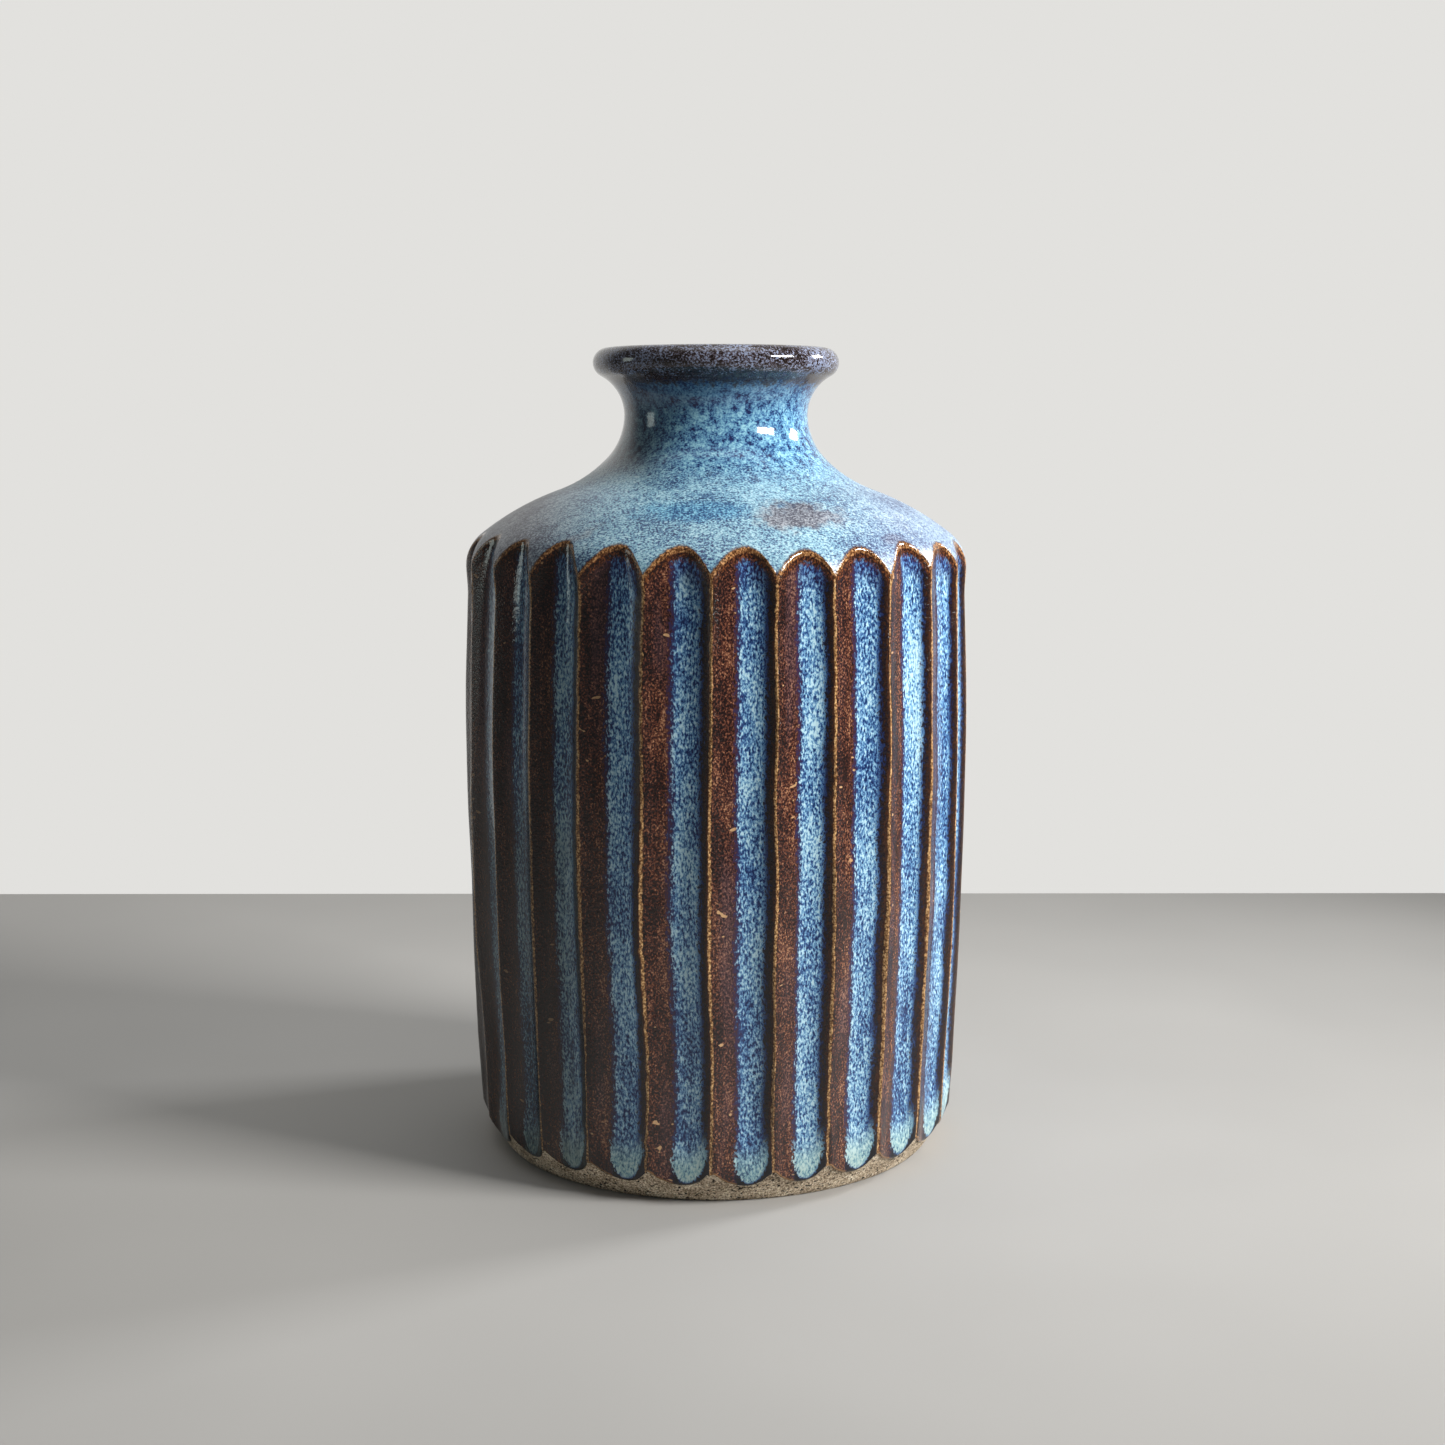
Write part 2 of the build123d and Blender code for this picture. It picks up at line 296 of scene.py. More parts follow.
def outer_skin(skin, foot_rows, wall_rows, slope_rows, even_rows):
    """A grid of (row, column, xyz) from the foot of the glaze to the top of the throat.

    skin is 0 for the glaze's face and 1 for the clay beneath it. The two other results are each point's
    distance below its arch and above the foot of the glaze.
    """
    inset = GLAZE * skin
    top_of_flute = shoulder_point(ARCH_P, inset)[1]
    near = np.array(ARCH_ROWS)[:, None]
    foot_z = edge_z + np.array(foot_rows)[:, None]
    last_z = top_of_flute - near[::-1]
    share = np.linspace(0, 1, wall_rows + 2)[1:-1, None]
    wall_z = np.vstack((foot_z, foot_z[-1] + (last_z[0] - foot_z[-1]) * share, last_z, top_of_flute))
    angle = column_angle(wall_z)
    below = np.clip((top_of_flute - wall_z) / ARCH_FADE, 0, 1)
    r = wall_r(wall_z, wall_z - edge_z, skin) + to_arch * (1 - below * below * (3 - 2 * below))
    wall = np.stack((r * np.sin(angle), -r * np.cos(angle), wall_z), axis=-1)
    share = np.linspace(0, 1, slope_rows + 2)[1:-1, None]
    even_p = np.array(even_rows)[:, None] * np.ones(COLUMNS)
    p = np.vstack((ARCH_P + near, ARCH_P + near[-1] + (EVEN_P - ARCH_P - near[-1]) * share, even_p))
    r, top_z = shoulder_point(p, inset)
    fade = np.clip(1 - (p - ARCH_P) / UNRIDGE, 0, 1) ** 2
    angle = EVEN_ANGLE + (column_angle(np.full((1, COLUMNS), TOP_ANGLE_Z)) - EVEN_ANGLE) * fade
    top = np.stack((r * np.sin(angle), -r * np.cos(angle), top_z), axis=-1)
    grid = np.concatenate((wall, top))
    arch_row = len(wall) - 1
    for _ in range(3):
        kept = grid.copy()
        for row in range(arch_row - 2, arch_row + 3):
            grid[row] = 0.5 * kept[row] + 0.25 * (kept[row - 1] + kept[row + 1])
    arch_mm = np.concatenate((top_of_flute - wall_z, ARCH_P - p))
    foot_mm = np.concatenate((wall_z, top_z)) - edge_z
    return grid, arch_mm, foot_mm


LIP_FROM_Z = 119.5


def even_rows(step, lip_step):
    """Arclengths of the rows from the shoulder to the top of the throat, closer together around the lip."""
    lip = np.nonzero(outside[:, 1] > LIP_FROM_Z)[0]
    lip_start, lip_end = OUT_LENGTH[lip[0]], OUT_LENGTH[lip[-1]]
    parts = ((EVEN_P, lip_start, step), (lip_start, lip_end, lip_step), (lip_end, OUT_LENGTH[-1], 1.5 * step))
    rows = [np.linspace(a, b, max(2, round((b - a) / s)), endpoint=False) for a, b, s in parts]
    return np.concatenate((*rows, OUT_LENGTH[-1:]))


# --------------------------------------------------------------------------------------------- meshes


def spin(path, columns):
    """A path of (radius, height) turned about the axis, as a grid."""
    angle = 2 * math.pi * np.arange(columns) / columns
    r, z = path[:, 0][:, None], path[:, 1][:, None]
    return np.stack((r * np.sin(angle), -r * np.cos(angle), z * np.ones(columns)), axis=-1)


def grid_mesh(name, grid, ring=False, pole_before=None, pole_after=None, shares=None, fields=()):
    """A mesh over a grid that is closed around, with an optional point on the axis at each end.

    A ring is closed from its last row to its first as well. shares goes on the corners of the faces, so
    that a flute's last face runs to 1, and the fields go on the points.
    """
    rows, columns = grid.shape[:2]
    verts = grid.reshape(-1, 3)
    row = np.arange(rows if ring else rows - 1)[:, None]
    col = np.arange(columns)[None, :]
    right, up = (col + 1) % columns, (row + 1) % rows
    quads = np.stack(
        (row * columns + col, row * columns + right, up * columns + right, up * columns + col), axis=-1
    ).reshape(-1, 4)
    extra, fans = [], []
    first, last = col[0], (rows - 1) * columns + col[0]
    if pole_before is not None:
        extra.append((0, 0, pole_before))
        fans.append(np.stack((np.full(columns, len(verts)), right[0], first), axis=-1))
    if pole_after is not None:
        tip = len(verts) + len(extra)
        extra.append((0, 0, pole_after))
        fans.append(np.stack((last, (rows - 1) * columns + right[0], np.full(columns, tip)), axis=-1))
    if extra:
        verts = np.vstack((verts, extra))
    loops = np.concatenate([quads.ravel()] + [f.ravel() for f in fans]).astype(np.int32)
    sizes = np.concatenate([np.full(len(quads), 4)] + [np.full(len(f), 3) for f in fans])
    starts = np.concatenate(([0], np.cumsum(sizes)[:-1])).astype(np.int32)
    mesh = bpy.data.meshes.new(name)
    mesh.vertices.add(len(verts))
    mesh.vertices.foreach_set("co", (verts * MM).astype(np.float32).ravel())
    mesh.loops.add(len(loops))
    mesh.loops.foreach_set("vertex_index", loops)
    mesh.polygons.add(len(sizes))
    mesh.polygons.foreach_set("loop_start", starts)
    mesh.update(calc_edges=True)
    mesh.polygons.foreach_set("use_smooth", np.ones(len(sizes), bool))
    for field, values in fields:
        values = np.concatenate((values.ravel(), np.zeros(len(extra))))
        mesh.attributes.new(field, "FLOAT", "POINT").data.foreach_set("value", values.astype(np.float32))
    if shares is not None:
        left = shares[col] + np.zeros_like(row)
        next_share = shares[right]
        next_share = np.where(next_share == 0, 1.0, next_share) + np.zeros_like(row)
        corners = np.stack((left, next_share, next_share, left), axis=-1).ravel()
        corners = np.concatenate((corners, np.zeros(len(loops) - len(corners))))
        mesh.attributes.new("share", "FLOAT", "CORNER").data.foreach_set("value", corners.astype(np.float32))
    mesh.validate()
    obj = bpy.data.objects.new(name, mesh)
    bpy.context.scene.collection.objects.link(obj)
    return obj


# outer glaze: its face outwards and its back on the clay, one closed coat
FOOT_ROWS = (0, 0.03, 0.09, 0.18, 0.30, 0.45, 0.65, 0.95, 1.35, 1.8, 2.4, 3.1, 3.9, 4.8, 5.8, 7.0, 8.4, 10.0)
BACK_FOOT_ROWS = (0.3, 0.8, 1.8, 3.5, 6.0, 10.0)
face, face_arch, face_foot = outer_skin(0, FOOT_ROWS, 56, 14, even_rows(0.8, 0.42))
back, back_arch, back_foot = outer_skin(1, BACK_FOOT_ROWS, 12, 3, even_rows(2.6, 1.3))
glaze = grid_mesh(
    "outer_glaze_coat",
    np.concatenate((face, back[::-1])),
    ring=True,
    shares=column_share,
    fields=(
        ("arch_mm", np.concatenate((face_arch, back_arch[::-1]))),
        ("foot_mm", np.concatenate((face_foot, back_foot[::-1]))),
    ),
)

# clay: underside, foot ring, bevel, the wall under the glaze, and the inside under the liner
RING_R = FOOT_R - FOOT_RING
UNDERSIDE = (
    (8.0, FOOT_RECESS),
    (17.0, FOOT_RECESS),
    (RING_R - 2.2, FOOT_RECESS),
    (RING_R - 1.5, FOOT_RECESS - 0.06),
    (RING_R - 0.9, 0.72),
    (RING_R - 0.3, 0.16),
    (RING_R + 0.1, 0.02),
    (RING_R + 0.6, 0.0),
    (FOOT_R - 3.0, 0.0),
    (FOOT_R - 0.9, 0.0),
    (FOOT_R - 0.45, 0.015),
    (FOOT_R - 0.12, 0.08),
    (FOOT_R + 0.05, 0.24),
)
BEVEL_FROM_Z = 0.45
foot_angle = column_angle(edge_z[None, :])[0]
bevel_z = BEVEL_FROM_Z + (edge_z - BEVEL_FROM_Z) * np.linspace(0, 1, 10)[:, None]
r = bevel_r(bevel_z)
bevel = np.stack((r * np.sin(foot_angle), -r * np.cos(foot_angle), bevel_z), axis=-1)
under = np.array(UNDERSIDE)
underside = np.stack(
    (
        under[:, :1] * np.sin(foot_angle),
        -under[:, :1] * np.cos(foot_angle),
        under[:, 1:] * np.ones(COLUMNS),
    ),
    axis=-1,
)
CLAY_FOOT_ROWS = (0.25, 0.6, 1.2, 2.4, 4.5, 8.0)
clay_wall = outer_skin(1, CLAY_FOOT_ROWS, 20, 5, even_rows(2.0, 0.9))[0]
liner_back = inside + GLAZE * into_clay(inside)
clay_inside_path = liner_back[1:]
r, z = clay_inside_path[:, :1], clay_inside_path[:, 1:]
clay_inside = np.stack((r * np.sin(EVEN_ANGLE), -r * np.cos(EVEN_ANGLE), z * np.ones(COLUMNS)), axis=-1)
clay = grid_mesh(
    "stoneware_clay",
    np.concatenate((underside, bevel, clay_wall, clay_inside)),
    pole_before=FOOT_RECESS,
    pole_after=float(clay_inside_path[-1, 1]),
)

# liner: its face inside the pot, and its back on the clay
FLOOR_MIDDLE_R, LINER_COLUMNS = 0.6, 160
floor_middle = [(FLOOR_MIDDLE_R, FLOOR_CORNER[1]), (FLOOR_MIDDLE_R, FLOOR_CORNER[1] - GLAZE)]
liner_path = np.concatenate((inside, floor_middle, liner_back[::-1]))
liner = grid_mesh("liner_coat", spin(liner_path, LINER_COLUMNS), ring=True)

# ------------------------------------------------------------------------------------------ materials


def linear(r, g, b):
    """A colour given as 0 to 255 display values, as the linear colour that a shader takes."""
    values = [c / 255 for c in (r, g, b)]
    return tuple(c / 12.92 if c <= 0.04045 else ((c + 0.055) / 1.055) ** 2.4 for c in values) + (1.0,)


class Look:
    """A material built from nodes. Each method adds a node and returns its output."""

    def __init__(self, name):
        self.material = bpy.data.materials.new(name)
        self.material.use_nodes = True
        self.tree = self.material.node_tree
        self.shader = self.tree.nodes["Principled BSDF"]
        coordinates = self.tree.nodes.new("ShaderNodeTexCoord")
        self.mm = self.vector("SCALE", coordinates.outputs["Object"], scale=1 / MM)

    def put(self, value, socket):
        if isinstance(value, bpy.types.NodeSocket):
            self.tree.links.new(value, socket)
        else:
            socket.default_value = value

    def vector(self, operation, a, b=None, scale=None):
        node = self.tree.nodes.new("ShaderNodeVectorMath")
        node.operation = operation
        self.put(a, node.inputs[0])
        if b is not None:
            self.put(b, node.inputs[1])
        if scale is not None:
            self.put(scale, node.inputs["Scale"])
        return node.outputs["Value" if operation in ("LENGTH", "DISTANCE") else "Vector"]

    def axes(self):
        node = self.tree.nodes.new("ShaderNodeSeparateXYZ")
        self.put(self.mm, node.inputs[0])
        return node.outputs["X"], node.outputs["Y"], node.outputs["Z"]

    def field(self, name):
        node = self.tree.nodes.new("ShaderNodeAttribute")
        node.attribute_name = name
        return node.outputs["Fac"]

    def math(self, operation, a, b=0.0, c=0.0):
        node = self.tree.nodes.new("ShaderNodeMath")
        node.operation = operation
        for value, socket in zip((a, b, c), node.inputs):
            self.put(value, socket)
        return node.outputs[0]

    def rise(self, value, low, high):
        """0 below low, 1 above high, smooth between; falls instead if low is the larger."""
        node = self.tree.nodes.new("ShaderNodeMapRange")
        node.interpolation_type = "SMOOTHSTEP"
        self.put(value, node.inputs["Value"])
        if low <= high:
            node.inputs["From Min"].default_value, node.inputs["From Max"].default_value = low, high
        else:
            node.inputs["From Min"].default_value, node.inputs["From Max"].default_value = high, low
            node.inputs["To Min"].default_value, node.inputs["To Max"].default_value = 1.0, 0.0
        return node.outputs["Result"]

    def fold(self, operation, *values):
        """The operation carried along all the values, such as their sum for ADD."""
        result = values[0]
        for value in values[1:]:
            result = self.math(operation, result, value)
        return result

    def both(self, *masks):
        """1 where every mask is 1."""
        return self.fold("MULTIPLY", *masks)

    def swing(self, noise, size):
        """A noise scaled to this size and centred on 0."""
        return self.math("MULTIPLY_ADD", noise, size, -size / 2)

    def noise(self, per_mm, detail=2.0, roughness=0.55, stretch=(1, 1, 1), shift=0.0):
        place = self.vector("MULTIPLY", self.mm, stretch)
        place = self.vector("ADD", place, (shift, -shift, 2 * shift))
        node = self.tree.nodes.new("ShaderNodeTexNoise")
        self.put(place, node.inputs["Vector"])
        node.inputs["Scale"].default_value = per_mm
        node.inputs["Detail"].default_value = detail
        node.inputs["Roughness"].default_value = roughness
        return node.outputs["Fac"]

    def ramp(self, value, *stops):
        node = self.tree.nodes.new("ShaderNodeValToRGB")
        self.put(value, node.inputs[0])
        elements = node.color_ramp.elements
        while len(elements) < len(stops):
            elements.new(0.5)
        for element, (position, colour) in zip(elements, stops):
            element.position = position
            element.color = linear(*colour)
        return node.outputs["Color"]

    def mix(self, share, a, b):
        node = self.tree.nodes.new("ShaderNodeMix")
        node.data_type = "RGBA"
        self.put(share, node.inputs[0])
        self.put(a if isinstance(a, bpy.types.NodeSocket) else linear(*a), node.inputs[6])
        self.put(b if isinstance(b, bpy.types.NodeSocket) else linear(*b), node.inputs[7])
        return node.outputs[2]

    def blend(self, share, a, b):
        """A number that goes from a to b with share."""
        return self.math("MULTIPLY_ADD", share, b - a, a)

    def blob(self, centre, half_sizes, soft):
        """1 inside an ellipsoid about centre, falling to 0 over its soft edge."""
        away = self.vector("SUBTRACT", self.mm, centre)
        scaled = self.vector("DIVIDE", away, half_sizes)
        ragged = self.swing(self.noise(0.45, 4.0, 0.7, shift=5.0), soft)
        return self.rise(self.math("ADD", self.vector("LENGTH", scaled), ragged), 1.25, 0.55)

    def bump(self, height, distance_mm, below=None):
        node = self.tree.nodes.new("ShaderNodeBump")
        node.inputs["Distance"].default_value = distance_mm * MM
        self.put(height, node.inputs["Height"])
        if below is not None:
            self.put(below, node.inputs["Normal"])
        return node.outputs["Normal"]

    def finish(self, obj, colour, roughness, normal):
        self.put(colour, self.shader.inputs["Base Color"])
        self.put(roughness, self.shader.inputs["Roughness"])
        self.put(normal, self.shader.inputs["Normal"])
        obj.data.materials.clear()
        obj.data.materials.append(self.material)


# Where the glaze and its painted shade, reflection and sheen change: in shares of a flute from its left ridge, and
# in mm across and up the vase.
# Each pair says where a change starts and where it is complete.
BROWN_ENDS = (0.385, 0.34)
BLUE_STARTS, BLUE_ENDS = (0.42, 0.50), (0.87, 0.81)
POOL_MIDDLE, POOL_HALF, POOL_TOP, POOL_HEIGHT = 0.655, 0.28, 3.6, 3.15
# where the painted shade and painted dark reflection down the left flank start, across and up the vase
SHADED_FLANK_X, SHADED_FLANK_Z = (-11.0, -25.0), (64.0, 50.0)
# a painted grey reflection on the left of the shoulder, a painted sheen on its right, and painted shade on the
# left of the neck
GREY_REFLECTION_X, SHEEN_SHOULDER_X, SHADED_NECK_X = (-13.0, -30.0), (12.0, 28.0), (-4.0, -13.0)
NECK_Z, UNDER_LIP_Z, LIP_Z = (103.0, 108.5), (114.0, 119.0), (119.0, 120.4)
BREAK_Z, BREAK_END_Z = (118.9, 119.8), (121.2, 120.3)

# Marks on the front of the shoulder: centre, half sizes, and how ragged the edge is
PLUM_PATCHES = (
    ((12.0, -29.3, 100.3), (7.6, 9.0, 2.1), 2.0),
    ((26.0, -25.8, 96.8), (2.2, 3.0, 0.9), 0.9),
)
DEEP_POOL = ((-3.6, -30.5, 101.0), (9.5, 8.0, 1.5), 1.7)
GLASS_IOR = 1.55


def glaze_grounds(look):
    """What the colours of the glaze follow: places on the vase, and the noises of its texture."""
    x, _, z = look.axes()
    at = SimpleNamespace(x=x, z=z)
    at.share, at.arch_mm, at.foot_mm = look.field("share"), look.field("arch_mm"), look.field("foot_mm")
    to_ridge = look.math("MINIMUM", at.share, look.math("SUBTRACT", 1.0, at.share))
    at.ridge_mm = look.math("MULTIPLY", to_ridge, FLUTE_MM)

    at.grain = look.noise(3.4, 2.0, 0.6, (1, 1, 0.52))
    at.grain_2 = look.noise(3.8, 2.0, 0.6, (1, 1, 0.8), 40.0)
    at.streak = look.noise(0.75, 3.0, 0.6, (1, 1, 0.25), 11.0)
    at.drift = look.noise(0.16, 2.0, 0.5, (1, 1, 0.5), 23.0)
    at.broken = look.math("MULTIPLY_ADD", look.noise(1.5, 3.0, 0.7, (1, 1, 0.6), 71.0), 1.1, -0.5)
    at.frost = look.noise(3.0, 2.0, 0.65, (1, 1, 1.3), 93.0)
    at.mottle = look.noise(0.85, 4.0, 0.68, (1, 1, 0.8), 31.0)
    cloud = look.noise(0.13, 3.0, 0.6, (1, 1, 1.5), 3.0)
    at.speckle = look.fold("ADD", at.frost, look.swing(cloud, 0.34), look.swing(at.mottle, 0.34))
    at.fleck = look.math("ADD", look.math("MULTIPLY", at.mottle, 0.55), look.math("MULTIPLY", at.frost, 0.45))

    # painted shade down the left flank, stronger below 50 to 64 mm up, where a dark reflection is painted
    flank_x = look.rise(look.math("ADD", at.x, look.swing(at.streak, 8.0)), *SHADED_FLANK_X)
    at.flank = look.both(flank_x, look.blend(look.rise(at.z, *SHADED_FLANK_Z), 0.62, 0.78))
    return at


def brown_of_flute(look, at, across):
    grain = look.math("ADD", at.grain_2, look.math("MULTIPLY", look.rise(across, 0.16, 0.36), 0.05))
    brown = look.ramp(
        look.fold("ADD", grain, look.swing(at.streak, 0.30), look.swing(at.drift, 0.30)),
        (0.39, (11, 7, 8)),
        (0.47, (37, 20, 18)),
        (0.56, (76, 41, 31)),
        (0.65, (118, 74, 54)),
        (0.76, (176, 132, 98)),
    )
    # mauve patches in the brown: partly the glaze's own purple tint, partly a painted sheen
    mauve_and_sheen = look.ramp(at.grain_2, (0.38, (46, 32, 38)), (0.50, (78, 58, 64)), (0.64, (112, 84, 84)))
    mauve_and_sheen_at = look.rise(look.noise(0.11, 2.0, 0.5, (1, 1, 0.35), 47.0), 0.50, 0.66)
    return look.mix(look.both(mauve_and_sheen_at, look.rise(across, 0.10, 0.24), 0.55), brown, mauve_and_sheen)


def flute_colour(look, at):
    # the coloured bands of a flute, from its left ridge to its right one, with painted shade, near black, in the
    # crease along its steep right wall
    across = look.math("ADD", at.share, look.math("ADD", look.swing(at.grain, 0.26), look.swing(at.streak, 0.11)))
    bands_and_crease_shade = look.ramp(
        across,
        (0.00, (50, 28, 18)),
        (0.10, (58, 30, 22)),
        (0.26, (64, 32, 26)),
        (0.34, (72, 38, 32)),
        (0.385, (58, 38, 56)),
        (0.43, (40, 42, 84)),
        (0.50, (62, 96, 150)),
        (0.80, (60, 96, 150)),
        (0.86, (28, 34, 70)),
        (0.895, (18, 13, 20)),
        (0.95, (50, 28, 18)),
        (1.00, (70, 40, 24)),
    )
    blue_grain = look.fold("ADD", at.grain, look.swing(at.drift, 0.34), look.swing(at.streak, 0.20))
    blue = look.ramp(
        blue_grain,
        (0.34, (24, 38, 82)),
        (0.42, (46, 78, 130)),
        (0.49, (84, 130, 174)),
        (0.56, (130, 176, 206)),
        (0.65, (186, 218, 228)),
    )
    brown = brown_of_flute(look, at, across)
    flute = look.mix(look.both(look.rise(across, *BROWN_ENDS), 0.9), bands_and_crease_shade, brown)

    # the blue band, which widens into a milky pool with a rounded, dark-edged end at the foot
    pool_across = look.math("DIVIDE", look.math("SUBTRACT", across, POOL_MIDDLE), POOL_HALF)
    below_top = look.math("SUBTRACT", look.math("MINIMUM", at.foot_mm, POOL_TOP), POOL_TOP)
    pool_up = look.math("DIVIDE", below_top, POOL_HEIGHT)
    squares = [look.math("POWER", side, 2.0) for side in (pool_across, pool_up)]
    pool_away = look.math("SQRT", look.fold("ADD", *squares))
    pool = look.both(look.rise(pool_away, 1.0, 0.84), look.rise(at.foot_mm, 7.5, 4.0))
    in_blue = look.both(look.rise(across, *BLUE_STARTS), look.rise(across, *BLUE_ENDS))
    in_blue = look.math("MAXIMUM", look.both(in_blue, look.rise(at.foot_mm, 3.4, 3.9)), pool)
    around_pool = look.both(look.rise(pool_away, 0.9, 1.05), look.rise(at.foot_mm, 4.4, 2.6))
    flute = look.mix(look.both(around_pool, look.rise(across, 0.36, 0.44)), flute, (15, 12, 20))
    flute = look.mix(in_blue, flute, blue)

    # brown under the arch, turning to speckled navy and then to the bands
    below_arch = look.math("ADD", at.arch_mm, look.swing(at.grain, 1.6))
    navy = look.ramp(at.grain, (0.40, (30, 26, 56)), (0.52, (48, 66, 122)), (0.62, (92, 140, 186)))
    flute = look.mix(look.both(look.rise(below_arch, 6.0, 2.4), in_blue), flute, navy)
    arch_brown = look.ramp(at.grain_2, (0.38, (30, 18, 16)), (0.52, (62, 33, 22)), (0.66, (124, 72, 38)))
    flute = look.mix(look.rise(below_arch, 2.4, 1.2), flute, arch_brown)

    # milky blue in the pool, and a tan line where the glaze ends thinly beside it
    milky = look.ramp(
        blue_grain,
        (0.32, (64, 92, 120)),
        (0.41, (112, 154, 172)),
        (0.50, (150, 186, 190)),
        (0.62, (186, 210, 206)),
    )
    above_foot = look.math("ADD", at.foot_mm, look.swing(at.grain, 1.8))
    flute = look.mix(look.both(look.rise(above_foot, 7.5, 2.0), pool), flute, milky)
    thin_edge = look.math("ADD", at.foot_mm, look.math("MULTIPLY", at.broken, 0.35))
    tan_edge = look.both(look.rise(thin_edge, 0.50, 0.25), look.rise(at.share, 0.46, 0.36))
    flute = look.mix(tan_edge, flute, (150, 112, 74))

    # small tan marks where a bubble in the glaze has burst
    bubbles = look.rise(look.noise(0.55, 1.0, 0.4, (1, 1, 1.6), 57.0), 0.755, 0.775)
    flute = look.mix(look.both(bubbles, look.rise(at.share, 0.44, 0.38)), flute, (184, 146, 106))

    # painted shade down the left flank: its blue is painted a dark grey-green and its brown near black there
    shaded_blue = look.ramp(blue_grain, (0.36, (8, 10, 12)), (0.48, (26, 33, 34)), (0.60, (60, 74, 70)))
    flute = look.mix(look.both(at.flank, look.rise(across, 0.36, 0.46)), flute, shaded_blue)
    flute = look.mix(look.both(at.flank, look.rise(across, 0.46, 0.36), 0.85), flute, (15, 10, 9))

    # thin gold where the glaze breaks over the ridges
    on_ridge = look.rise(look.math("ADD", at.ridge_mm, look.math("MULTIPLY", at.broken, 0.55)), 0.29, 0.17)
    gold = look.ramp(at.grain_2, (0.36, (76, 46, 26)), (0.50, (144, 104, 62)), (0.64, (212, 172, 120)))
    # painted shade: the ridges' gold darkened down the left flank
    gold = look.mix(look.both(at.flank, 0.6), gold, (44, 29, 21))
    return look.mix(look.both(on_ridge, look.rise(at.arch_mm, 0.0, 0.6)), flute, gold)


def shoulder_colour(look, at):
    """Pale and speckled in front, with a painted grey reflection to the left and a painted grey-lavender sheen to
    the right, and a few purple-brown patches.
    """
    shoulder = look.ramp(
        at.speckle,
        (0.35, (32, 46, 88)),
        (0.42, (64, 98, 134)),
        (0.48, (102, 144, 168)),
        (0.55, (136, 178, 192)),
        (0.66, (172, 200, 210)),
    )
    plum = look.ramp(
        at.speckle,
        (0.35, (46, 36, 38)),
        (0.45, (82, 72, 76)),
        (0.55, (118, 110, 116)),
        (0.66, (154, 150, 156)),
    )
    scattered = look.rise(look.noise(0.07, 3.0, 0.6, (1, 1, 1.6), 8.0), 0.60, 0.72)
    # purple-brown patches, scattered and at the front, and a painted grey reflection over the left of the shoulder
    plum_and_reflection = look.fold(
        "MAXIMUM",
        look.math("MULTIPLY", scattered, 0.8),
        *[look.blob(*patch) for patch in PLUM_PATCHES],
        look.rise(at.x, *GREY_REFLECTION_X),
    )
    shoulder = look.mix(look.both(plum_and_reflection, 0.8), shoulder, plum)
    # painted sheen: the right of the shoulder greyer and more lavender
    painted_sheen = look.ramp(
        at.speckle,
        (0.34, (56, 62, 94)),
        (0.45, (100, 116, 146)),
        (0.56, (136, 152, 176)),
        (0.68, (166, 178, 192)),
    )
    shoulder = look.mix(look.both(look.rise(at.x, *SHEEN_SHOULDER_X), 0.75), shoulder, painted_sheen)
    deep = look.ramp(at.speckle, (0.38, (22, 58, 104)), (0.50, (78, 136, 172)), (0.62, (134, 188, 206)))
    return look.mix(look.both(look.blob(*DEEP_POOL), 0.9), shoulder, deep)


def upper_colour(look, at):
    """The shoulder, then a brighter blue neck with navy mottling, then plum and brown over the lip."""
    neck = look.ramp(
        at.fleck,
        (0.39, (22, 32, 70)),
        (0.44, (44, 74, 120)),
        (0.49, (78, 124, 160)),
        (0.55, (114, 164, 188)),
        (0.62, (152, 198, 210)),
    )
    neck = look.mix(look.rise(at.mottle, 0.385, 0.34), neck, (30, 36, 76))
    # painted shade: the left of the neck duller and greyer
    shaded_neck = look.ramp(at.fleck, (0.38, (38, 40, 46)), (0.50, (66, 72, 74)), (0.64, (112, 122, 122)))
    neck = look.mix(look.both(look.rise(at.x, *SHADED_NECK_X), 0.75), neck, shaded_neck)
    up = look.math("ADD", at.z, look.swing(at.mottle, 5.0))
    upper = look.mix(look.rise(up, *NECK_Z), shoulder_colour(look, at), neck)
    under_lip = look.ramp(at.fleck, (0.38, (34, 38, 66)), (0.60, (84, 116, 156)))
    upper = look.mix(look.both(look.rise(up, *UNDER_LIP_Z), 0.55), upper, under_lip)
    lip = look.ramp(
        at.speckle,
        (0.38, (18, 12, 11)),
        (0.46, (48, 36, 34)),
        (0.53, (82, 76, 84)),
        (0.62, (128, 138, 162)),
    )
    upper = look.mix(look.rise(up, *LIP_Z), upper, lip)
    break_line = look.both(look.rise(up, *BREAK_Z), look.rise(up, *BREAK_END_Z))
    return look.mix(look.both(break_line, 0.8), upper, (50, 31, 26))


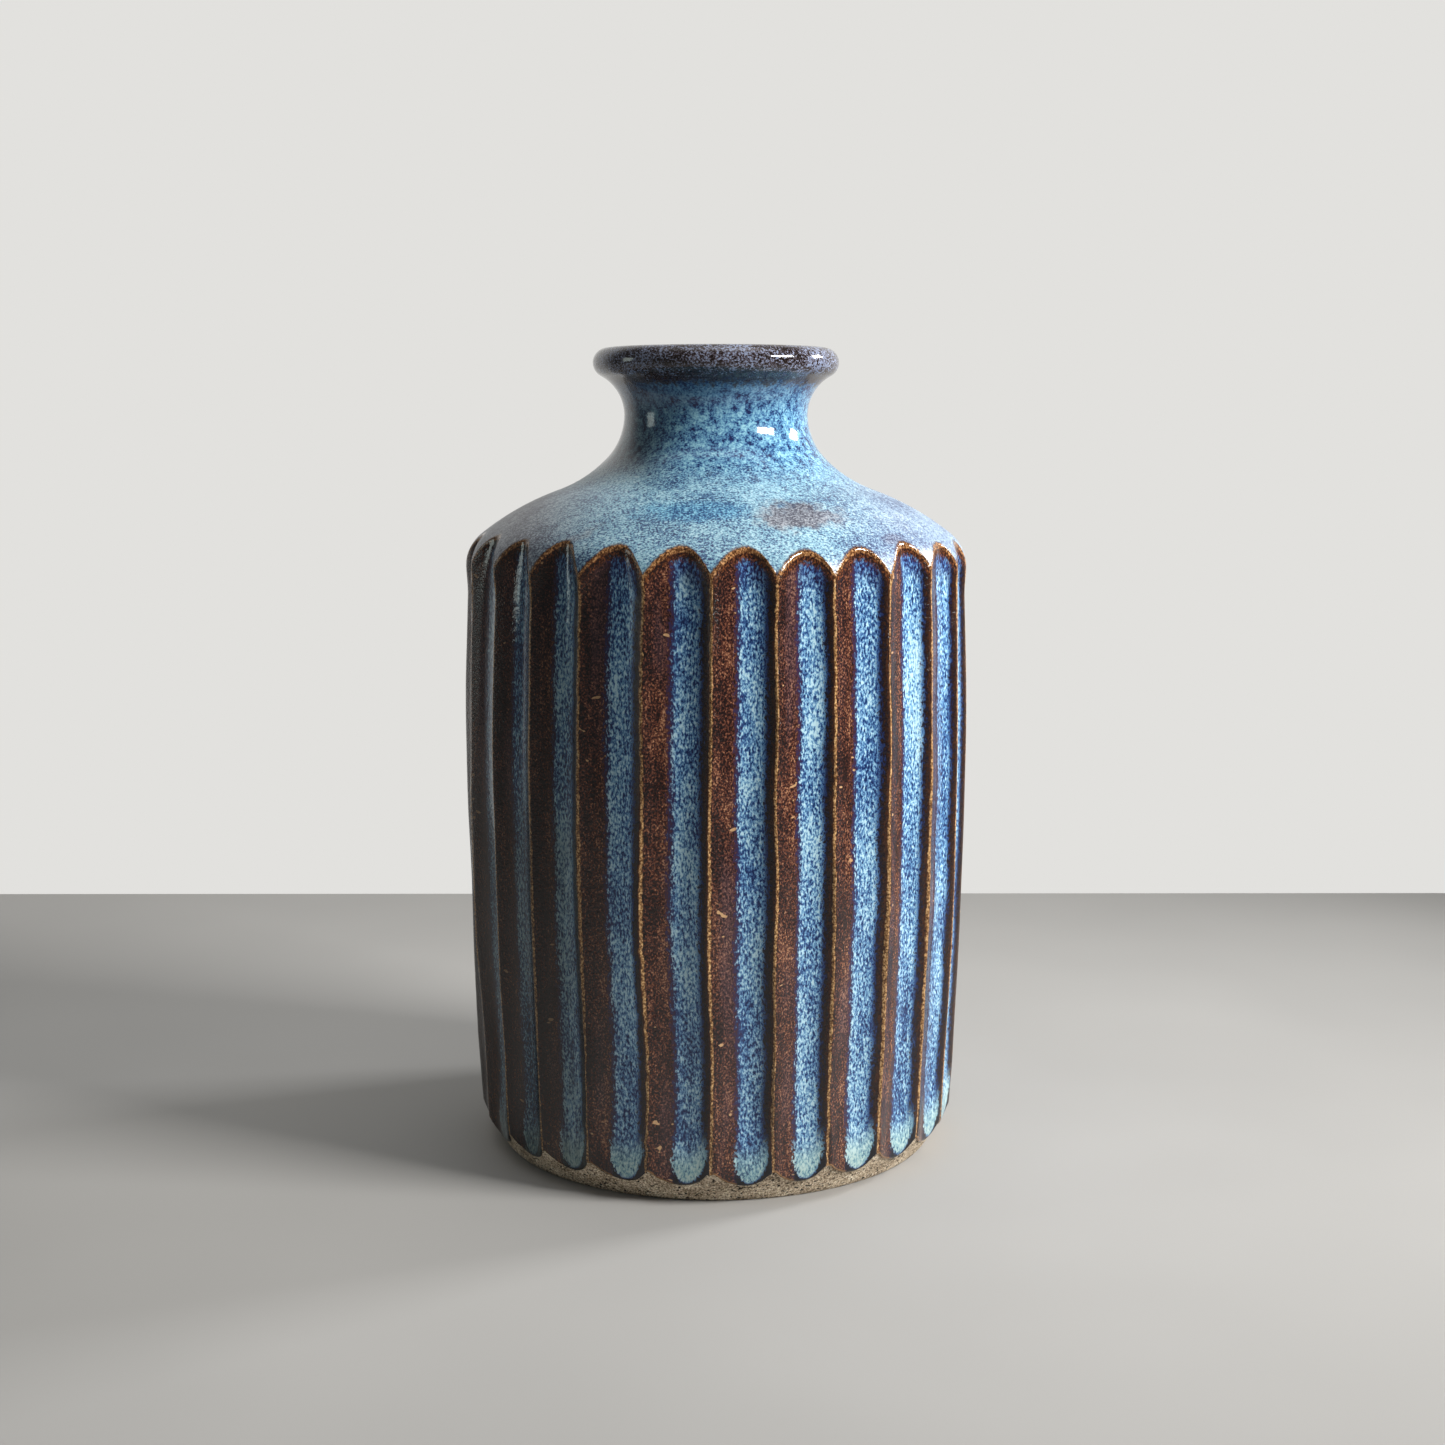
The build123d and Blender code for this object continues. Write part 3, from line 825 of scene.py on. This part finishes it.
def glaze_look():
    look = Look("variegated_glaze")
    at = glaze_grounds(look)

    # the arches, where the flutes give way to the shoulder, with a gold-brown edge
    above_arch = look.math("ADD", look.math("MULTIPLY", at.arch_mm, -1.0), look.math("MULTIPLY", at.broken, 0.9))
    colour = look.mix(look.rise(above_arch, 0.1, 1.0), flute_colour(look, at), upper_colour(look, at))
    off_edge = look.math("ABSOLUTE", look.math("SUBTRACT", at.arch_mm, 0.15))
    edge = look.rise(look.math("ADD", off_edge, look.math("MULTIPLY", at.broken, 0.5)), 0.60, 0.30)
    arch_gold = look.ramp(at.grain_2, (0.36, (54, 31, 18)), (0.50, (108, 68, 37)), (0.66, (194, 146, 96)))
    # painted shade: the arches' gold edge darkened down the left flank
    arch_gold = look.mix(look.both(at.flank, 0.6), arch_gold, (40, 27, 20))
    colour = look.mix(edge, colour, arch_gold)

    # glossy, but for the frosted shoulder; smoothest on the neck and roughest beside the ridges
    satin = look.both(look.rise(at.arch_mm, 0.0, -1.0), look.rise(at.z, 110.0, 104.0))
    rough = look.math("MULTIPLY_ADD", satin, look.blend(at.frost, 0.18, 0.42), 0.08)
    smooth = look.blend(look.rise(at.z, 103.0, 107.0), 1.0, 0.3)
    fine_bump = look.bump(look.both(look.noise(1.3, 3.0, 0.5, shift=3.0), smooth), 0.05)
    near_ridge = look.both(look.rise(at.ridge_mm, 3.6, 0.2), look.rise(at.arch_mm, -1.2, 0.0))
    broken_bump = look.bump(look.both(look.noise(3.2, 3.0, 0.6, shift=13.0), near_ridge), 0.10, fine_bump)
    look.shader.inputs["IOR"].default_value = GLASS_IOR
    look.finish(glaze, colour, rough, broken_bump)


def clay_look():
    look = Look("bare_stoneware")
    sand = look.noise(3.4, 3.0, 0.7)
    pits = look.noise(1.7, 2.0, 0.5, (1, 1, 1.4), 17.0)
    tone = look.noise(0.25, 3.0, 0.6, (1, 1, 2.0), 29.0)
    colour = look.ramp(
        look.math("ADD", sand, look.swing(tone, 0.3)),
        (0.36, (104, 88, 70)),
        (0.46, (176, 156, 130)),
        (0.55, (214, 194, 166)),
        (0.64, (252, 242, 220)),
    )
    colour = look.mix(look.rise(pits, 0.40, 0.35), colour, (40, 32, 26))
    height = look.math("SUBTRACT", sand, look.math("MULTIPLY", look.rise(pits, 0.40, 0.30), 1.4))
    look.finish(clay, colour, look.blend(sand, 0.95, 0.75), look.bump(height, 0.16))


def liner_look():
    look = Look("liner_glaze")
    grain = look.noise(1.6, 3.0, 0.6)
    colour = look.ramp(grain, (0.36, (26, 22, 34)), (0.50, (44, 46, 74)), (0.64, (70, 86, 122)))
    look.shader.inputs["IOR"].default_value = GLASS_IOR
    look.finish(liner, colour, look.blend(grain, 0.14, 0.26), look.bump(look.noise(0.7, 2.0), 0.05))


glaze_look()
clay_look()
liner_look()

for obj, node, slot in (
    (glaze, "outer_glaze", "variegated_glaze"),
    (clay, "stoneware_body", "bare_stoneware"),
    (liner, "liner_glaze", "liner_glaze"),
):
    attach(obj, "root")
    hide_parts(node)

# ---------------------------------------------------------------------------------------------- studio


def table_look():
    look = Look("studio_paper")
    cloud = look.noise(0.006, 3.0, 0.6)
    tone = look.ramp(cloud, (0.35, [c * 0.95 for c in TABLE_TONE]), (0.65, TABLE_TONE))
    look.put(tone, look.shader.inputs["Base Color"])
    look.shader.inputs["Roughness"].default_value = 0.8
    return look.material


# a pale table top, rounded over at its far edge
TABLE_FRONT, TABLE_BACK, TABLE_SIDE = -1400.0, 176.0, 1500.0
TABLE_EDGE_R, TABLE_THICK = 10.0, 40.0
TABLE_TONE = (165, 163, 160)
table_path = [(TABLE_FRONT, 0.0)]
for a in np.linspace(0, math.pi / 2, 10):
    back, down = TABLE_EDGE_R * (1 - math.sin(a)), TABLE_EDGE_R * (1 - math.cos(a))
    table_path.append((TABLE_BACK - back, -down))
table_path.append((TABLE_BACK, -TABLE_THICK))
verts = [(x * MM, y * MM, z * MM) for y, z in table_path for x in (-TABLE_SIDE, TABLE_SIDE)]
faces = [(2 * i, 2 * i + 1, 2 * i + 3, 2 * i + 2) for i in range(len(table_path) - 1)]
mesh = bpy.data.meshes.new("table_top")
mesh.from_pydata(verts, [], faces)
mesh.polygons.foreach_set("use_smooth", [True] * len(faces))
table = bpy.data.objects.new("table_top", mesh)
bpy.context.scene.collection.objects.link(table)
table.data.materials.append(table_look())


def area_light(name, place, aim, size, watts, spread, colour=(1, 1, 1)):
    light = bpy.data.lights.new(name, "AREA")
    light.shape = "RECTANGLE"
    light.size, light.size_y = size[0] * MM, size[1] * MM
    light.energy = watts
    light.spread = math.radians(spread)
    light.color = colour
    lamp = bpy.data.objects.new(name, light)
    lamp.location = [c * MM for c in place]
    direction = np.array(aim) - np.array(place)
    yaw = math.atan2(direction[1], direction[0]) - math.pi / 2
    pitch = math.atan2(direction[2], math.hypot(direction[0], direction[1]))
    lamp.rotation_euler = (math.pi / 2 + pitch, 0, yaw)
    lamp.visible_camera = False
    bpy.context.scene.collection.objects.link(lamp)


area_light("window", (425, -190, 325), (0, 0, 90), (190, 62), 0.74, 70, (1.0, 0.99, 0.97))
area_light("second_window", (350, 140, 250), (0, 0, 90), (84, 60), 0.27, 80, (0.98, 0.99, 1.0))
area_light("ceiling", (140, -40, 640), (0, 0, 90), (420, 420), 0.06, 60)
area_light("left_card", (-520, -20, 170), (0, 0, 110), (110, 180), 0.016, 60, (0.84, 0.97, 0.92))

# the room: pale behind the vase and overhead, dim elsewhere
DIM, PALE = linear(92, 95, 98), linear(226, 225, 222)
BEHIND, OVERHEAD = (0.28, 0.76), (0.80, 0.95)
world = bpy.data.worlds.new("studio_air")
bpy.context.scene.world = world
world.use_nodes = True
air = world.node_tree
axes = air.nodes.new("ShaderNodeSeparateXYZ")
air.links.new(air.nodes.new("ShaderNodeTexCoord").outputs["Generated"], axes.inputs[0])
brighter = air.nodes.new("ShaderNodeMath")
brighter.operation = "MAXIMUM"
for slot, (axis, span) in enumerate((("Y", BEHIND), ("Z", OVERHEAD))):
    rise = air.nodes.new("ShaderNodeMapRange")
    rise.interpolation_type = "SMOOTHSTEP"
    rise.inputs["From Min"].default_value, rise.inputs["From Max"].default_value = span
    air.links.new(axes.outputs[axis], rise.inputs["Value"])
    air.links.new(rise.outputs["Result"], brighter.inputs[slot])
room = air.nodes.new("ShaderNodeValToRGB")
room.color_ramp.elements[0].color, room.color_ramp.elements[1].color = DIM, PALE
air.links.new(brighter.outputs[0], room.inputs[0])
air.links.new(room.outputs["Color"], air.nodes["Background"].inputs["Color"])
air.nodes["Background"].inputs["Strength"].default_value = 1.0

# the camera, as fitted to the photograph's outline
CAMERA_AWAY, CAMERA_UP, LOOKS_DOWN, TURNED = 325.0, 113.1, 8.2, -0.18
camera = bpy.data.cameras.new("camera")
camera.sensor_width = 36.0
camera.lens = 51.35
camera.clip_start = 0.01
viewer = bpy.data.objects.new("camera", camera)
viewer.location = (0.0, -CAMERA_AWAY * MM, CAMERA_UP * MM)
viewer.rotation_euler = (math.radians(90 - LOOKS_DOWN), 0, math.radians(TURNED))
bpy.context.scene.collection.objects.link(viewer)
bpy.context.scene.camera = viewer
bpy.context.scene.view_settings.view_transform = "Standard"
